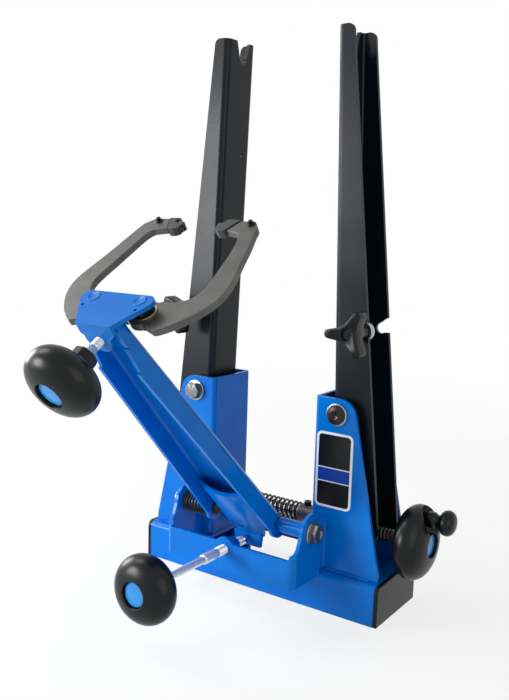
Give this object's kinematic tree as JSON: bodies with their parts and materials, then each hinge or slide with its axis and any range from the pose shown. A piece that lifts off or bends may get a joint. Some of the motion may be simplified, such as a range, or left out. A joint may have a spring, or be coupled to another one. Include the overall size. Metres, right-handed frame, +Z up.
{
  "type": "bicycle wheel truing stand",
  "caption": "Folded steel wheel truing stand: crank-set tilting uprights with axle notches and a leaning arm whose screw-set jaws close on the rim.",
  "frame": {"origin": "centre of the pattern of the four bench holes, on the base's underside", "axes": "+X towards the crank side, +Z up, +Y away from the operator, so the depth knob is on the -Y side"},
  "size_m": [0.271, 0.2935, 0.445],
  "materials": {
    "blue_paint": "gloss",
    "black_paint": "satin",
    "cast_grey": "satin",
    "tip_grey": "satin",
    "zinc": "satin",
    "black_steel": "satin",
    "chrome": "polished",
    "black_plastic": "matte",
    "blue_plastic": "gloss",
    "label": "gloss",
    "brass": "satin"
  },
  "bodies": {
    "base": {"base_beam": "blue_paint", "end_caps": "black_plastic", "front_box": "blue_paint", "bracket_left": "blue_paint", "bracket_right": "blue_paint", "label_plate": "label", "shaft_bushes": "zinc", "shaft_spring": "black_steel", "spring_seat": "zinc", "tilt_bolts": "zinc", "tilt_spacers": "zinc", "tilt_nuts": "zinc", "arm_pivot_bolts": "zinc", "arm_pivot_sleeves": "blue_paint", "depth_nut": "blue_paint", "arm_pivot_clips": "black_steel", "arm_spring": "black_steel"},
    "rod_tip": {"depth_tip": "chrome"},
    "depth_rod": {"depth_rod": "chrome", "depth_knob": "black_plastic", "depth_knob_inlay": "blue_plastic"},
    "arm": {"arm": "blue_paint", "arm_push_plate": "blue_paint", "head_plate": "blue_paint", "jaw_screw_nut": "zinc", "jaw_pins": "zinc", "jaw_pin_nuts": "black_steel", "jaw_spacers": "black_plastic", "jaw_washers": "brass"},
    "yoke": {"jaw_yoke": "zinc"},
    "jaw_screw": {"jaw_screw": "chrome", "jaw_knob": "black_plastic", "jaw_knob_inlay": "blue_plastic"},
    "left_jaw": {"jaw_left": "cast_grey", "jaw_tip_left": "tip_grey", "jaw_nose_left": "black_steel", "jaw_tail_pin_left": "zinc", "jaw_tip_screw_left": "black_steel"},
    "right_jaw": {"jaw_right": "cast_grey", "jaw_tip_right": "tip_grey", "jaw_nose_right": "black_steel", "jaw_tail_pin_right": "zinc", "jaw_tip_screw_right": "black_steel"},
    "left_upright": {"upright_left": "black_paint"},
    "right_upright": {"upright_right": "black_paint"},
    "left_nut": {"shaft_nut_left": "zinc"},
    "right_nut": {"shaft_nut_right": "zinc"},
    "crank": {"cross_shaft": "zinc", "shaft_collar": "cast_grey", "collar_screw": "black_steel", "crank_disc": "black_plastic", "crank_inlay": "blue_plastic", "crank_stud": "zinc"},
    "grip": {"crank_grip": "black_plastic"},
    "left_clamp_pad": {"clamp_pad_left": "zinc"},
    "left_clamp_knob": {"clamp_stud_left": "zinc", "clamp_knob_left": "black_plastic"},
    "right_clamp_pad": {"clamp_pad_right": "zinc"},
    "right_clamp_knob": {"clamp_stud_right": "zinc", "clamp_knob_right": "black_plastic"}
  },
  "joints": [
    {"name": "crank_spin", "type": "hinge", "parent": "base", "child": "crank", "pos_m": [0.128, 0, 0.062], "axis": [1, 0, 0], "range_deg": [-597, 1094]},
    {"name": "right_upright_tilt", "type": "hinge", "parent": "base", "child": "right_upright", "pos_m": [0.0686, 0, 0.157], "axis": [0, 1, 0], "range_deg": [-3.01, 5.5]},
    {"name": "left_upright_tilt", "type": "hinge", "parent": "base", "child": "left_upright", "pos_m": [-0.0686, 0, 0.157], "axis": [0, 1, 0], "range_deg": [-5.5, 3.01]},
    {"name": "right_nut_slide", "type": "slide", "parent": "base", "child": "right_nut", "axis": [1, 0, 0], "range_m": [-0.00912, 0.00498]},
    {"name": "left_nut_slide", "type": "slide", "parent": "base", "child": "left_nut", "axis": [1, 0, 0], "range_m": [-0.00498, 0.00912]},
    {"name": "grip_spin", "type": "hinge", "parent": "crank", "child": "grip", "pos_m": [0.1505, 0.004, 0.081], "axis": [1, 0, 0], "continuous": true},
    {"name": "rod_tip_slide", "type": "slide", "parent": "base", "child": "rod_tip", "axis": [0, 1, 0], "range_m": [-0.001, 0.01126]},
    {"name": "depth_knob_spin", "type": "hinge", "parent": "rod_tip", "child": "depth_rod", "pos_m": [-0.0027, -0.162, 0.045], "axis": [0, 1, 0], "range_deg": [-288, 3240]},
    {"name": "arm_tilt", "type": "hinge", "parent": "base", "child": "arm", "pos_m": [0, -0.0457, 0.067], "axis": [1, 0, 0], "range_deg": [-2.61, 29.3]},
    {"name": "yoke_slide", "type": "slide", "parent": "arm", "child": "yoke", "axis": [0, 0.8251, 0.565], "range_m": [-0.00121, 0.00409]},
    {"name": "jaw_knob_spin", "type": "hinge", "parent": "yoke", "child": "jaw_screw", "pos_m": [0, -0.2396, 0.20437], "axis": [0, 0.8251, 0.565], "range_deg": [-432, 1470]},
    {"name": "left_jaw_swing", "type": "hinge", "parent": "arm", "child": "left_jaw", "pos_m": [-0.0194, -0.18802, 0.2409], "axis": [0, -0.565, 0.8251], "range_deg": [-6.62, 22.5]},
    {"name": "right_jaw_swing", "type": "hinge", "parent": "arm", "child": "right_jaw", "pos_m": [0.0194, -0.18802, 0.2409], "axis": [0, -0.565, 0.8251], "range_deg": [-22.5, 6.62]},
    {"name": "right_clamp_spin", "type": "hinge", "parent": "right_upright", "child": "right_clamp_knob", "pos_m": [0.08018, -0.034, 0.22074], "axis": [0, 1, 0], "range_deg": [0, 1440]},
    {"name": "right_pad_slide", "type": "slide", "parent": "right_upright", "child": "right_clamp_pad", "axis": [0, 1, 0], "range_m": [0, 0.004]},
    {"name": "left_clamp_spin", "type": "hinge", "parent": "left_upright", "child": "left_clamp_knob", "pos_m": [-0.07875, -0.034, 0.2244], "axis": [0, 1, 0], "range_deg": [0, 1440]},
    {"name": "left_pad_slide", "type": "slide", "parent": "left_upright", "child": "left_clamp_pad", "axis": [0, 1, 0], "range_m": [0, 0.004]}
  ],
  "couplings": [
    {"joint": "right_upright_tilt", "follows": "crank_spin", "ratio": 0.0050259},
    {"joint": "left_upright_tilt", "follows": "crank_spin", "ratio": -0.0050259},
    {"joint": "right_nut_slide", "follows": "crank_spin", "m_per_rad": -0.00047746},
    {"joint": "left_nut_slide", "follows": "crank_spin", "m_per_rad": 0.00047746},
    {"joint": "rod_tip_slide", "follows": "depth_knob_spin", "m_per_rad": 0.00019894},
    {"joint": "arm_tilt", "follows": "depth_knob_spin", "ratio": 0.0090429},
    {"joint": "yoke_slide", "follows": "jaw_knob_spin", "m_per_rad": 0.00015915},
    {"joint": "left_jaw_swing", "follows": "jaw_knob_spin", "ratio": 0.015303},
    {"joint": "right_jaw_swing", "follows": "jaw_knob_spin", "ratio": -0.015303},
    {"joint": "right_pad_slide", "follows": "right_clamp_spin", "m_per_rad": 0.00015915},
    {"joint": "left_pad_slide", "follows": "left_clamp_spin", "m_per_rad": 0.00015915}
  ]
}
